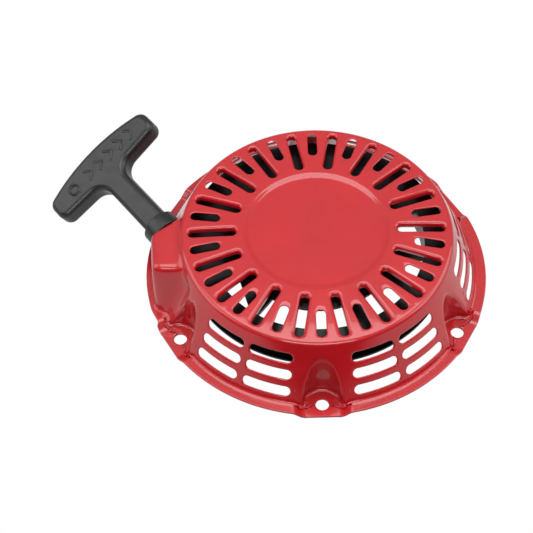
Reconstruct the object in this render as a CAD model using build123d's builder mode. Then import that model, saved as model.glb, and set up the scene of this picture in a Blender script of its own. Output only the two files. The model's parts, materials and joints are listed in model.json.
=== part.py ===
from build123d import *
from math import acos, atan2, cos, degrees, hypot, radians, sin, sqrt, tan
import os

os.makedirs("parts", exist_ok=True)

# Recoil starter for a small horizontal-shaft engine, in millimetres.
# Origin: on the crank axis, in the plane of the mounting tabs' undersides.  +Z points away from
# the engine, and the cover stands on its six tabs.

# Pressed steel cover
sheet = 1.2
cover_height = 39.5  # tab underside to the top of the slotted ring
disc_radius = 36.0  # flat middle of the cover
disc_recess = 1.0
disc_step = 4.0  # radial width of the soft step round the disc
crown_drop = 1.3  # the slotted ring falls this much to the shoulder
shoulder_radius = 72.5
shoulder_fillet = 3.0
wall_outside = 4.2  # the side wall's foot, at z = 0, outside the bolt circle
flange_width = 3.6  # outside the wall's foot
flange_underside = 3.0

# Mounting tabs
tab_count = 6
first_tab_angle = -90.0
bolt_circle_radius = 86.0
bolt_hole_radius = 3.5
tab_edge_outside = 7.2  # the flat outer edge, outside the bolt circle
tab_half_width = 10.5
tab_ramp = 4.5  # tangential length of the ramp from tab to flange
tab_edge_width = 31.5  # length of the flat outer edge
pocket_radius = 9.5  # spanner room above each tab

# Slots in the top
slot_count = 18
short_slot_set_back = 9.3  # its inner end, outside the long slots' inner ends
short_slot_land = 3.7  # from its outer end to the shoulder
short_slot_width = 5.0
long_slot_margin = 3.2  # from the step round the disc to its inner end
long_slot_land = 3.5
long_slot_width = 4.6
lip_depth = 3.4  # rolled edge of the long slots, below the top of the ring

# Slots in the side wall
side_slot_rows = 3
top_row_drop = 9.7  # middle of the top row, below the shoulder
bottom_row_rise = 6.0  # middle of the bottom row, above the flange
side_slot_height = 5.2
side_slot_half_span = 8.75  # degrees
side_slot_offset = 10.2  # degrees to each side of a sector's middle
outlet_sector = 180.0  # the sector that holds the rope outlet has no slots

# Rope
rope_radius = 2.0
rope_rise = 12.5  # the rope's line above the reel's engine-side face
knot_ratio = 2.2  # a knot's radius over the rope's
close_gap = 0.05  # between pieces that all but touch
pull_x, pull_y = -0.6, 0.8  # direction in which the rope leaves
pull_inside = 3.55  # the outlet's line passes this far inside the inner wraps' centres

# Rope outlet
outlet_inset = 12.38  # its outer face, inside the wall's foot along the rope
outlet_outer_half = 11.4
outlet_inner_half = 9.6
outlet_drop = 5.0  # its top below the top of the ring
outlet_fillet = 3.0
outlet_side_angle = 192.8  # its long side meets the wall's foot here
outlet_back = ((78.0, 202.6), (50.0, 177.7))  # radius and angle, inside the cover
collar_room = 1.5  # the wall is dished to clear the grip's collar by this much
guide_wall = 2.3
guide_collar = 2.5  # width of the bush's flange
guide_flange = 1.5
guide_nose = 3.0
guide_play = 0.7  # round the rope
guide_mouth = 1.8

# Reel
reel_room = 3.8  # between the reel and the nearest part of the cover's side
groove_depth = 12.0
groove_room_top = 1.1  # over the two inner wraps
groove_room_bottom = 1.9
rim_wall = 1.3
rim_top_lean = 2.4  # the upper cheek's edge is this much lower than its root
rim_bottom_lean = 1.2
web_thickness = 2.0
floor_taper = -35.0  # degrees, under the barrel's floor
window_margin = 7.0  # from the spring barrel to the windows
spoke_width = 7.6
spoke_angles = (-127.5, -67.0, -34.0, -11.0)
closed_web_start = 18.0  # the web is whole from this angle, over the rope's knot
closed_web_end = 209.0
gusset_angle = -160.0  # the first spoke widens towards this angle at its inner end
gusset_rise = 2.0  # and starts there this far outside the windows' inner edge
knot_angle = 200.0
barrel_radius = 38.0
barrel_wall = 2.0
barrel_gap = 1.8  # between its rim and the plate that carries the post
barrel_floor_thickness = 2.0
hub_boss_radius = 29.0
boss_height = 8.0  # from the barrel's floor to the engine side, where the pawls lie

# Post, screw and washer
post_radius = 8.0
running_clearance = 0.06
post_plate_radius = 24.0
post_plate_thickness = 1.5
plate_chamfer = 0.4
pilot_radius = 5.0
pilot_stand = 0.1  # the pilot ends this far outside the guide plate
spring_slot_depth = 1.5  # in the post, for the spring's inner end
washer_radius = 13.0
washer_thickness = 1.0
washer_gap = 0.6  # the washer stands this far under the reel
screw_radius = 3.0
screw_flange_radius = 8.0
screw_flange = 1.2
hex_across_flats = 10.0
hex_height = 3.0
hex_chamfer = 0.5
screw_length = 18.8

# Recoil spring
spring_strip = 1.0
spring_width = 9.0
spring_half_turns = 16
spring_bottom_gap = 0.6
spring_top_gap = 5.4
spring_clearance = 0.3

# Pawls, their pins and springs, and the plate that guides them
pawl_pivot_radius = 21.0
pawl_eye_radius = 4.2
pawl_tip_radius = 2.2
pawl_length = 15.0
pawl_rest_angle = -98.0  # from the outward radius to the pawl's tip
pawl_swing = 35.0
pawl_thickness = 3.7
pawl_gap = 0.2  # between the pawls and the reel's face
peg_distance = 6.0
peg_radius = 1.4
pin_radius = 2.5
pin_depth = 5.0
guide_swing = 20.0
guide_gap = 0.2  # between the plate and the pawls
guide_thickness = 1.6
guide_edge = 1.5  # metal left outside the cam slots
guide_fillet = 0.5
cam_clearance = 0.35
pawl_spring_radius = 3.4
pawl_spring_wire = 0.3
pawl_spring_pitch = 0.9
pawl_spring_height = 1.5
spring_seat_radius = 4.4
spring_seat_depth = 2.4
friction_radius = 7.0
friction_wire = 0.45

# T-shaped grip and its collar
collar_gap = 0.1
collar_radius = 10.0
collar_length = 9.2
collar_edge = 0.8
collar_floor = 2.4  # between the spigot's end and the outlet
spigot_radius = 5.5
stem_radius = 7.0
bar_distance = 61.1  # from the outlet's face to the middle of the bar
bar_tilt = 26.5  # degrees, the outer end of the bar is up
bar_half_length = 37.5
bar_near_end = -7.2
bar_near_middle = -8.6
bar_far_end = 6.8
bar_far_middle = 13.0
bar_thickness = 13.0
bar_edge_fillet = 3.6
bar_corner_fillet = 5.5
crotch_fillet = 9.0
relief_height = 0.5
chevron_count = 5
chevron_pitch = 8.0
chevron_half = 3.4
chevron_stroke = 1.3
chevron_rise = 1.4  # the marks' middles, away from the outlet
ring_mark_rise = 0.8
ring_mark_place = -20.8
ring_mark_radius = 3.6
grip_bore_play = 0.3  # round the rope
knot_pocket_room = 1.1
knot_pocket_depth = 11.0
knot_washer_play = 0.5
knot_washer_thickness = 1.2

# Worked out from the values above: the cover
wall_foot_radius = bolt_circle_radius + wall_outside
flange_radius = wall_foot_radius + flange_width
tab_edge_distance = bolt_circle_radius + tab_edge_outside
disc_top = cover_height - disc_recess
shoulder_height = cover_height - crown_drop
wall_lean = (wall_foot_radius - shoulder_radius) / shoulder_height
wall_gauge = sheet * sqrt(1 + wall_lean**2)  # sheet measured level through the leaning wall
flange_top = flange_underside + sheet
tab_angles = [first_tab_angle + 360.0 / tab_count * i for i in range(tab_count)]
reach = flange_radius + 10.0
long_slot_inner = disc_radius + disc_step + long_slot_margin
long_slot_outer = shoulder_radius - long_slot_land
short_slot_inner = long_slot_inner + short_slot_set_back
short_slot_outer = shoulder_radius - short_slot_land
top_row = shoulder_height - top_row_drop
bottom_row = flange_top + bottom_row_rise
row_pitch = (top_row - bottom_row) / (side_slot_rows - 1)
side_slot_heights = [bottom_row + row_pitch * row for row in range(side_slot_rows)]

# Heights inside the cover, from the plate that carries the post down to the guide plate
post_top = disc_top - sheet - post_plate_thickness
barrel_top = post_top - barrel_gap
barrel_floor = barrel_top - spring_top_gap - spring_width - spring_bottom_gap
reel_face = barrel_floor - boss_height
washer_top = reel_face - washer_gap
washer_bottom = washer_top - washer_thickness
pawl_top = reel_face - pawl_gap
pawl_bottom = pawl_top - pawl_thickness
guide_top = pawl_bottom - guide_gap
guide_bottom = guide_top - guide_thickness
pilot_end = guide_bottom - pilot_stand
screw_end = pilot_end + screw_length

# The rope's winding and the rims either side of it
rope_height = reel_face + rope_rise
wrap_spread = rope_radius + 2 * close_gap
winding_half = wrap_spread + rope_radius
rim_top = rope_height + winding_half + groove_room_top + rim_wall
rim_top_outer = rim_top - rim_top_lean
rim_bottom = rope_height - winding_half - groove_room_bottom - rim_wall
rim_bottom_outer = rim_bottom + rim_bottom_lean
wall_inside = wall_foot_radius - wall_lean * rim_top_outer - wall_gauge
pocket_inside = bolt_circle_radius - pocket_radius - sheet
reel_outer_radius = min(wall_inside, pocket_inside) - reel_room
groove_root_radius = reel_outer_radius - groove_depth
wrap_radius = groove_root_radius + rope_radius + close_gap
outer_wrap_radius = wrap_radius + sqrt(4 * rope_radius**2 - wrap_spread**2)
window_inner = barrel_radius + window_margin

# The rope's way out, and what fits round the rope
pull_offset = wrap_radius - pull_inside
outlet_distance = sqrt(wall_foot_radius**2 - pull_offset**2) - outlet_inset
outlet_top = cover_height - outlet_drop
pull_foot = Vector(-pull_y, pull_x) * pull_offset
pull_line = Vector(pull_x, pull_y)
outlet_centre = pull_foot + pull_line * outlet_distance
outlet_outward = Vector(-pull_y, pull_x)
guide_bore_radius = rope_radius + guide_play
guide_barrel_radius = guide_bore_radius + guide_wall
guide_flange_radius = guide_barrel_radius + guide_collar
grip_bore_radius = rope_radius + grip_bore_play
knot_radius = knot_ratio * rope_radius
knot_pocket_radius = knot_radius + knot_pocket_room
knot_washer_radius = knot_pocket_radius - knot_washer_play


def wall_radius(z):
    """Outer radius of the leaning side wall at a height."""
    return wall_foot_radius - wall_lean * z


def polar(radius, angle, z=0.0):
    return Vector(radius * cos(radians(angle)), radius * sin(radians(angle)), z)


def radial_plane(angle, radius, z=0.0):
    """Plane that faces outward at an angle, with X tangential and Y up."""
    return Plane(
        origin=polar(radius, angle, z),
        x_dir=(-sin(radians(angle)), cos(radians(angle)), 0),
        z_dir=(cos(radians(angle)), sin(radians(angle)), 0),
    )


def pull_plane(distance):
    """Plane across the rope at a distance beyond the outlet's face, X level and Y up."""
    centre = outlet_centre + pull_line * distance
    return Plane(
        origin=(centre.X, centre.Y, rope_height),
        x_dir=(-pull_y, pull_x, 0),
        z_dir=(pull_x, pull_y, 0),
    )


def dome_line(drop, inset):
    """Half section of the top, from the axis to the shoulder, lowered and drawn in."""
    flat = Line((0, disc_top - drop), (disc_radius, disc_top - drop))
    step = Bezier(
        flat @ 1,
        (disc_radius + disc_step / 2, disc_top - drop),
        (disc_radius + disc_step / 2, cover_height - drop),
        (disc_radius + disc_step, cover_height - drop),
    )
    shoulder = (shoulder_radius - inset, shoulder_height - drop)
    middle = ((disc_radius + disc_step + shoulder[0]) / 2, cover_height - drop - crown_drop * 0.3)
    ThreePointArc(step @ 1, middle, shoulder)
    return shoulder


# Flange disc, with the tabs let down into it between their ramps
with BuildPart() as flange_disc:
    Cylinder(flange_radius, flange_top, align=(Align.CENTER, Align.CENTER, Align.MIN))
    for tab_angle in tab_angles:
        with BuildSketch(radial_plane(tab_angle, shoulder_radius)):
            with BuildLine():
                Polyline(
                    (-tab_half_width - 2 * tab_ramp, flange_top + flange_underside),
                    (-tab_half_width, sheet),
                    (tab_half_width, sheet),
                    (tab_half_width + 2 * tab_ramp, flange_top + flange_underside),
                    close=True,
                )
            make_face()
        extrude(amount=reach - shoulder_radius, mode=Mode.SUBTRACT)

with BuildPart() as outlet_outer:
    with BuildSketch() as outlet_plan:
        with BuildLine():
            Polyline(
                outlet_centre - outlet_outward * outlet_inner_half,
                outlet_centre + outlet_outward * outlet_outer_half,
                polar(wall_foot_radius, outlet_side_angle),
                *[polar(*point) for point in outlet_back],
                close=True,
            )
        make_face()
    extrude(amount=outlet_top)
    outer_upright = outlet_outer.edges().filter_by(Axis.Z).sort_by(Axis.X)[0:2]
    fillet(outer_upright, outlet_fillet)
    fillet(outlet_outer.faces().sort_by(Axis.Z)[-1].edges(), outlet_fillet * 0.8)

with BuildPart() as outlet_inner:
    with BuildSketch(Plane.XY.offset(-1)):
        add(outlet_plan.sketch)
        offset(amount=-sheet, mode=Mode.REPLACE)
    extrude(amount=outlet_top - sheet + 1)
    inner_upright = outlet_inner.edges().filter_by(Axis.Z).sort_by(Axis.X)[0:2]
    fillet(inner_upright, outlet_fillet - sheet)

# Outer form of the cover: a solid dome on the flange, with the spanner pockets cut in
with BuildPart() as outer_form:
    with BuildSketch(Plane.XZ) as outer_section:
        with BuildLine():
            outer_shoulder = dome_line(0, 0)
            Polyline(outer_shoulder, (wall_radius(0), 0), (0, 0), (0, disc_top))
        make_face()
        fillet(outer_section.vertices().sort_by_distance(outer_shoulder)[0], shoulder_fillet)
    revolve(axis=Axis.Z)
    add(outlet_outer.part)
    add(flange_disc.part)
    with Locations((0, 0, sheet)):
        with PolarLocations(bolt_circle_radius, tab_count, start_angle=first_tab_angle):
            Cylinder(
                pocket_radius,
                cover_height,
                align=(Align.CENTER, Align.CENTER, Align.MIN),
                mode=Mode.SUBTRACT,
            )
    with BuildSketch(pull_plane(0)):
        Circle(collar_radius + collar_room)
    extrude(amount=2 * collar_radius, mode=Mode.SUBTRACT)

# Inner form: the same dome one sheet inside, which leaves the pockets' walls standing
with BuildPart() as inner_form:
    with BuildSketch(Plane.XZ) as inner_section:
        with BuildLine():
            inner_shoulder = dome_line(sheet, wall_gauge * 0.75)
            foot = wall_radius(-2) - wall_gauge
            Polyline(inner_shoulder, (foot, -2), (0, -2), (0, disc_top - sheet))
        make_face()
        fillet(
            inner_section.vertices().sort_by_distance(inner_shoulder)[0], shoulder_fillet - sheet
        )
    revolve(axis=Axis.Z)
    add(outlet_inner.part)
    with Locations((0, 0, -2)):
        with PolarLocations(bolt_circle_radius, tab_count, start_angle=first_tab_angle):
            Cylinder(
                pocket_radius + sheet,
                cover_height + 4,
                align=(Align.CENTER, Align.CENTER, Align.MIN),
                mode=Mode.SUBTRACT,
            )
    with BuildSketch(pull_plane(-sheet)):
        Circle(collar_radius + collar_room + sheet)
    extrude(amount=2 * collar_radius, mode=Mode.SUBTRACT)

# What is taken away under the flange, between the tabs and their ramps
with BuildPart() as undercut:
    with Locations((0, 0, -2)):
        Cylinder(
            reach, flange_underside + 2, align=(Align.CENTER, Align.CENTER, Align.MIN)
        )
    for tab_angle in tab_angles:
        with BuildSketch(radial_plane(tab_angle, shoulder_radius - 10)):
            with BuildLine():
                Polyline(
                    (-tab_half_width, -3),
                    (-tab_half_width, 0),
                    (-tab_half_width - tab_ramp, flange_underside),
                    (-tab_half_width - tab_ramp, flange_top),
                    (tab_half_width + tab_ramp, flange_top),
                    (tab_half_width + tab_ramp, flange_underside),
                    (tab_half_width, 0),
                    (tab_half_width, -3),
                    close=True,
                )
            make_face()
        extrude(amount=reach, mode=Mode.SUBTRACT)

with BuildPart() as housing_shell:
    add(outer_form.part)
    add(inner_form.part, mode=Mode.SUBTRACT)
    add(undercut.part, mode=Mode.SUBTRACT)
    for tab_angle in tab_angles:
        with BuildSketch(radial_plane(tab_angle, tab_edge_distance)):
            Rectangle(tab_edge_width, 2 * flange_top)
        extrude(amount=10, mode=Mode.SUBTRACT)
    with BuildSketch():
        with PolarLocations(bolt_circle_radius, tab_count, start_angle=first_tab_angle):
            Circle(bolt_hole_radius)
    extrude(amount=2 * sheet, both=True, mode=Mode.SUBTRACT)
    # Rolled lips under the long slots
    long_slot_length = long_slot_outer - long_slot_inner
    long_slot_middle = (long_slot_outer + long_slot_inner) / 2
    long_slot_start = first_tab_angle + 180.0 / slot_count
    with BuildSketch(Plane.XY.offset(cover_height - lip_depth)):
        with PolarLocations(long_slot_middle, slot_count, start_angle=long_slot_start):
            SlotOverall(long_slot_length + 2 * sheet, long_slot_width + 2 * sheet)
    extrude(amount=lip_depth - crown_drop)
    with BuildSketch(Plane.XY.offset(cover_height - 2 * lip_depth)):
        with PolarLocations(long_slot_middle, slot_count, start_angle=long_slot_start):
            SlotOverall(long_slot_length, long_slot_width)
        short_slot_middle = (short_slot_outer + short_slot_inner) / 2
        with PolarLocations(short_slot_middle, slot_count, start_angle=first_tab_angle):
            SlotOverall(short_slot_outer - short_slot_inner, short_slot_width)
    extrude(amount=4 * lip_depth, mode=Mode.SUBTRACT)
    # Three rows of slots in every sector of the side wall but the outlet's
    sector_angles = [tab_angle + 180.0 / tab_count for tab_angle in tab_angles]
    for sector_angle in sector_angles:
        if abs((sector_angle - outlet_sector + 180) % 360 - 180) > 1:
            for side in (-side_slot_offset, side_slot_offset):
                for height in side_slot_heights:
                    span = 2 * wall_radius(height) * sin(radians(side_slot_half_span))
                    with BuildSketch(
                        radial_plane(sector_angle + side, shoulder_radius - 10, height)
                    ):
                        SlotOverall(span, side_slot_height)
                    extrude(amount=reach - shoulder_radius, mode=Mode.SUBTRACT)
    # Hole for the rope guide
    with BuildSketch(pull_plane(-4 * sheet)):
        Circle(guide_barrel_radius + close_gap)
    extrude(amount=8 * sheet, mode=Mode.SUBTRACT)
housing_shell.part.label = "housing_shell"
export_step(housing_shell.part, "parts/housing_shell.step")

# Round plate welded under the disc, which carries the post
with BuildPart() as post_plate:
    with BuildSketch(Plane.XY.offset(post_top)):
        Circle(post_plate_radius)
    extrude(amount=post_plate_thickness)
    chamfer(post_plate.edges().group_by(Axis.Z)[0], plate_chamfer)
post_plate.part.label = "post_plate"
export_step(post_plate.part, "parts/post_plate.step")

# Post that the reel turns on: shoulder for the washer, pilot for the guide plate, tapped bore
spring_bottom = barrel_floor + spring_bottom_gap
with BuildPart() as centre_post:
    with BuildSketch(Plane.XY.offset(washer_top)):
        Circle(post_radius)
    extrude(amount=post_top - washer_top)
    with BuildSketch(Plane.XY.offset(pilot_end)):
        Circle(pilot_radius)
    extrude(amount=washer_top - pilot_end)
    with BuildSketch(Plane.XY.offset(pilot_end)):
        Circle(screw_radius + running_clearance)
    extrude(amount=screw_end - pilot_end + 1, mode=Mode.SUBTRACT)
    # Slot that takes the spring's inner end
    with BuildSketch(Plane.XY.offset(spring_bottom)):
        with Locations((post_radius, 0)):
            Rectangle(2 * spring_slot_depth, 2 * spring_strip)
    extrude(amount=spring_width, mode=Mode.SUBTRACT)
centre_post.part.label = "centre_post"
export_step(centre_post.part, "parts/centre_post.step")

# Flanged bush that leads the rope through the outlet's face
with BuildPart() as rope_guide:
    guide_length = sheet + guide_flange + guide_nose
    with BuildSketch(pull_plane(-sheet - guide_flange)):
        Circle(guide_flange_radius)
    extrude(amount=guide_flange)
    with BuildSketch(pull_plane(-guide_length)):
        Circle(guide_barrel_radius)
    extrude(amount=guide_length)
    with BuildSketch(pull_plane(-guide_length)):
        Circle(guide_bore_radius)
    extrude(amount=guide_length, mode=Mode.SUBTRACT)
    bore_rims = rope_guide.edges().filter_by(
        lambda edge: edge.geom_type == GeomType.CIRCLE
        and abs(edge.radius - guide_bore_radius) < 0.01
    )
    fillet(bore_rims, guide_mouth)
rope_guide.part.label = "rope_guide"
export_step(rope_guide.part, "parts/rope_guide.step")

# Reel: boss for the pawls, spring barrel open to the cover, spoked web and rope groove
knot_seat = groove_root_radius - rim_wall - knot_radius - close_gap
knot_neck = sqrt(knot_radius**2 - rope_radius**2)
knot_plane = Plane(
    origin=polar(knot_seat, knot_angle, rope_height),
    x_dir=(cos(radians(knot_angle)), sin(radians(knot_angle)), 0),
    z_dir=(0, 0, 1),
)
spoke_inner = window_inner - rim_wall
spoke_outer = groove_root_radius - rim_wall / 2
spoke_middle = (spoke_inner + spoke_outer) / 2
spoke_length = spoke_outer - spoke_inner
with BuildPart() as reel:
    with BuildSketch(Plane.XY.offset(reel_face)):
        Circle(hub_boss_radius)
    extrude(amount=barrel_floor - reel_face)
    with BuildSketch(Plane.XY.offset(barrel_floor - barrel_floor_thickness)):
        Circle(barrel_radius)
    extrude(amount=barrel_floor_thickness, taper=floor_taper)
    with BuildSketch(Plane.XY.offset(barrel_floor)):
        Circle(barrel_radius)
        Circle(barrel_radius - barrel_wall, mode=Mode.SUBTRACT)
    extrude(amount=barrel_top - barrel_floor)
    with BuildSketch(Plane.XY.offset(rim_top - web_thickness)):
        Circle(groove_root_radius - rim_wall / 2)
        Circle(window_inner, mode=Mode.SUBTRACT)
        Circle(groove_root_radius - rim_wall, mode=Mode.SUBTRACT)
        for spoke_angle in spoke_angles:
            with PolarLocations(spoke_middle, 1, start_angle=spoke_angle):
                Rectangle(spoke_length, spoke_width)
        with BuildLine():
            Polyline(
                polar(window_inner + gusset_rise, gusset_angle),
                polar(spoke_outer, spoke_angles[0]),
                polar(spoke_inner, spoke_angles[0]),
                close=True,
            )
        make_face()
        with BuildLine():
            closed_sweep = closed_web_end - closed_web_start
            inside = CenterArc((0, 0), spoke_inner, closed_web_start, closed_sweep)
            outside = CenterArc((0, 0), spoke_outer, closed_web_start, closed_sweep)
            Line(inside @ 0, outside @ 0)
            Line(inside @ 1, outside @ 1)
        make_face()
        Circle(window_inner)
        Circle(barrel_radius - barrel_wall / 2, mode=Mode.SUBTRACT)
    extrude(amount=web_thickness)
    with BuildSketch(Plane.XZ):
        with BuildLine():
            Polyline(
                (groove_root_radius - rim_wall, rim_bottom),
                (groove_root_radius, rim_bottom),
                (reel_outer_radius, rim_bottom_outer),
                (reel_outer_radius, rim_bottom_outer + rim_wall),
                (groove_root_radius, rim_bottom + rim_wall),
                (groove_root_radius, rim_top - rim_wall),
                (reel_outer_radius, rim_top_outer - rim_wall),
                (reel_outer_radius, rim_top_outer),
                (groove_root_radius, rim_top),
                (groove_root_radius - rim_wall, rim_top),
                close=True,
            )
        make_face()
    revolve(axis=Axis.Z)
    with BuildSketch(Plane.XY.offset(reel_face)):
        Circle(post_radius + running_clearance)
    extrude(amount=barrel_floor, mode=Mode.SUBTRACT)
    for pivot_angle in (0, 180):
        pivot = polar(pawl_pivot_radius, pivot_angle)
        with BuildSketch(Plane.XY.offset(reel_face)):
            with Locations((pivot.X, pivot.Y)):
                Circle(spring_seat_radius)
        extrude(amount=spring_seat_depth, mode=Mode.SUBTRACT)
        with BuildSketch(Plane.XY.offset(reel_face)):
            with Locations((pivot.X, pivot.Y)):
                Circle(pin_radius)
        extrude(amount=pin_depth, mode=Mode.SUBTRACT)
    with BuildSketch(radial_plane(knot_angle, knot_seat + knot_radius, rope_height)):
        Circle(rope_radius + close_gap)
    extrude(amount=rope_radius, mode=Mode.SUBTRACT)
reel.part.label = "reel"
export_step(reel.part, "parts/reel.step")

# Recoil spring: a strip wound in half turns about two centres, hugging the post at its inner end
spring_start = post_radius + spring_clearance
spring_end = barrel_radius - barrel_wall - 2 * spring_clearance - spring_strip
spring_step = (spring_end - spring_start) / spring_half_turns
with BuildPart() as recoil_spring:
    with BuildSketch(Plane.XY.offset(spring_bottom)):
        with BuildLine():
            ends = []
            for thickness in (0.0, spring_strip):
                for half_turn in range(spring_half_turns):
                    radius = spring_start + spring_step * half_turn + thickness
                    middle_x = spring_step * (half_turn % 2)
                    way = 1 if half_turn % 2 == 0 else -1
                    strip = ThreePointArc(
                        (middle_x + way * radius, 0),
                        (middle_x, way * radius),
                        (middle_x - way * radius, 0),
                    )
                    if half_turn in (0, spring_half_turns - 1):
                        ends.append(strip @ (0 if half_turn == 0 else 1))
            Line(ends[0], ends[2])
            Line(ends[1], ends[3])
        make_face()
    extrude(amount=spring_width)
recoil_spring.part.label = "recoil_spring"
export_step(recoil_spring.part, "parts/recoil_spring.step")


def winding_section(extra):
    """Hull of two wraps side by side with a third in the groove between them."""
    for z in (rope_height - wrap_spread, rope_height + wrap_spread):
        with Locations((wrap_radius, z)):
            Circle(rope_radius + extra)
    with Locations((outer_wrap_radius, rope_height)):
        Circle(rope_radius + extra)
    make_hull()


# Rope wound on the reel, as one closed ring
with BuildPart() as rope_winding:
    with BuildSketch(Plane.XZ):
        winding_section(0)
    revolve(axis=Axis.Z)
rope_winding.part.label = "rope_winding"
export_step(rope_winding.part, "parts/rope_winding.step")

# Rope from the winding to the outlet: straight off the outer wrap, with one bend in the guide
bend_point = outlet_centre - pull_line * guide_length * 0.75
leave_angle = degrees(atan2(bend_point.Y, bend_point.X)) + degrees(
    acos(outer_wrap_radius / hypot(bend_point.X, bend_point.Y))
)
leave_point = polar(outer_wrap_radius, leave_angle)
bend_turn = radians(leave_angle - 90) - atan2(pull_y, pull_x)
bend_run = hypot(*(outlet_centre - bend_point))
bend_radius = 0.9 * bend_run / tan(abs(bend_turn) / 2)
with BuildPart() as winding_room:
    with BuildSketch(Plane.XZ):
        winding_section(2 * close_gap)
    revolve(axis=Axis.Z)
with BuildPart() as rope_lead:
    with BuildLine() as lead_path:
        FilletPolyline(
            (leave_point.X, leave_point.Y, rope_height),
            (bend_point.X, bend_point.Y, rope_height),
            (outlet_centre.X, outlet_centre.Y, rope_height),
            radius=bend_radius,
        )
    with BuildSketch(lead_path.line ^ 0):
        Circle(rope_radius)
    sweep(path=lead_path.line)
    add(winding_room.part, mode=Mode.SUBTRACT)
rope_lead.part.label = "rope_lead"
export_step(rope_lead.part, "parts/rope_lead.step")

# Knot that holds the rope's end inside the rim, with the rope's tail through the rim's hole
with BuildPart() as reel_knot:
    with BuildSketch(knot_plane):
        with BuildLine():
            Line((-knot_radius, 0), (groove_root_radius - knot_seat, 0))
            Line((groove_root_radius - knot_seat, 0), (groove_root_radius - knot_seat, rope_radius))
            tail = Line((groove_root_radius - knot_seat, rope_radius), (knot_neck, rope_radius))
            ThreePointArc(tail @ 1, (0, knot_radius), (-knot_radius, 0))
        make_face()
    revolve(axis=Axis(origin=knot_plane.origin, direction=knot_plane.x_dir))
reel_knot.part.label = "reel_knot"
export_step(reel_knot.part, "parts/reel_knot.step")

# Thrust washer that keeps the reel on the post
with BuildPart() as thrust_washer:
    with BuildSketch(Plane.XY.offset(washer_bottom)):
        Circle(washer_radius)
        Circle(pilot_radius + running_clearance, mode=Mode.SUBTRACT)
    extrude(amount=washer_thickness)
thrust_washer.part.label = "thrust_washer"
export_step(thrust_washer.part, "parts/thrust_washer.step")

# Centre screw with a flanged hexagon head
with BuildPart() as centre_screw:
    with BuildSketch(Plane.XY.offset(pilot_end)):
        Circle(screw_radius)
    extrude(amount=screw_end - pilot_end)
    with BuildSketch(Plane.XY.offset(pilot_end - screw_flange)):
        Circle(screw_flange_radius)
    extrude(amount=screw_flange)
    with BuildSketch(Plane.XY.offset(pilot_end - screw_flange - hex_height)):
        RegularPolygon(hex_across_flats / 2, 6, major_radius=False)
    extrude(amount=hex_height)
    chamfer(centre_screw.edges().group_by(Axis.Z)[0], hex_chamfer)
centre_screw.part.label = "centre_screw"
export_step(centre_screw.part, "parts/centre_screw.step")


# Friction spring between the washer and the guide plate
friction_room = washer_bottom - guide_top - 2 * friction_wire - 2 * close_gap
with BuildPart() as friction_spring:
    with BuildLine(Plane.XY.offset(guide_top + friction_wire + close_gap)) as friction_coil:
        Helix(pitch=friction_room / 2, height=friction_room, radius=friction_radius)
    with BuildSketch(friction_coil.line ^ 0):
        Circle(friction_wire)
    sweep(path=friction_coil.line, is_frenet=True)
friction_spring.part.label = "friction_spring"
export_step(friction_spring.part, "parts/friction_spring.step")


def peg_place(swing):
    """Place of the first pawl's peg on the reel, for a swing of the pawl in degrees."""
    return Vector(pawl_pivot_radius, 0) + polar(peg_distance, pawl_rest_angle + swing)


# Guide plate: turns on the pilot, and its cam slots carry the pawls' pegs outward
cam_points = [
    peg_place(pawl_swing * share).rotate(Axis.Z, -guide_swing * share) for share in (0, 0.5, 1)
]
guide_radius = cam_points[2].length + peg_radius + cam_clearance + guide_edge
with BuildPart() as ratchet_guide:
    with BuildSketch(Plane.XY.offset(guide_bottom)):
        Circle(guide_radius)
        Circle(pilot_radius + running_clearance, mode=Mode.SUBTRACT)
        for half in (0, 180):
            turned = [point.rotate(Axis.Z, half) for point in cam_points]
            SlotArc(
                ThreePointArc(*turned, mode=Mode.PRIVATE),
                2 * (peg_radius + cam_clearance),
                mode=Mode.SUBTRACT,
            )
    extrude(amount=guide_thickness)
    fillet(ratchet_guide.edges().group_by(Axis.Z)[0].sort_by(SortBy.LENGTH)[-1], guide_fillet)
ratchet_guide.part.label = "ratchet_guide"
export_step(ratchet_guide.part, "parts/ratchet_guide.step")

# Two pawls with their return springs, and the pins they swing on
for name, half in (("a", 0), ("b", 180)):
    pivot = polar(pawl_pivot_radius, half)
    peg = Vector(peg_place(0)).rotate(Axis.Z, half)
    tip = pivot + polar(pawl_length, pawl_rest_angle + half)
    with BuildPart() as pawl:
        with BuildSketch(Plane.XY.offset(pawl_bottom)):
            with Locations((pivot.X, pivot.Y)):
                Circle(pawl_eye_radius)
            with Locations((tip.X, tip.Y)):
                Circle(pawl_tip_radius)
            make_hull()
            with Locations((pivot.X, pivot.Y)):
                Circle(pin_radius + running_clearance, mode=Mode.SUBTRACT)
        extrude(amount=pawl_top - pawl_bottom)
        with BuildSketch(Plane.XY.offset(guide_bottom + close_gap)):
            with Locations((peg.X, peg.Y)):
                Circle(peg_radius)
        extrude(amount=pawl_bottom - guide_bottom)
    pawl.part.label = "pawl_" + name
    export_step(pawl.part, "parts/pawl_" + name + ".step")
    with BuildPart() as pawl_spring:
        spring_seat = Plane((pivot.X, pivot.Y, reel_face + pawl_spring_wire + close_gap))
        with BuildLine(spring_seat) as pawl_coil:
            Helix(
                pitch=pawl_spring_pitch, height=pawl_spring_height, radius=pawl_spring_radius
            )
        with BuildSketch(pawl_coil.line ^ 0):
            Circle(pawl_spring_wire)
        sweep(path=pawl_coil.line, is_frenet=True)
    pawl_spring.part.label = "pawl_spring_" + name
    export_step(pawl_spring.part, "parts/pawl_spring_" + name + ".step")

with BuildPart() as pawl_pins:
    with BuildSketch(Plane.XY.offset(pawl_bottom)):
        with PolarLocations(pawl_pivot_radius, 2):
            Circle(pin_radius)
    extrude(amount=reel_face + pin_depth - pawl_bottom)
pawl_pins.part.label = "pawl_pins"
export_step(pawl_pins.part, "parts/pawl_pins.step")

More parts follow.
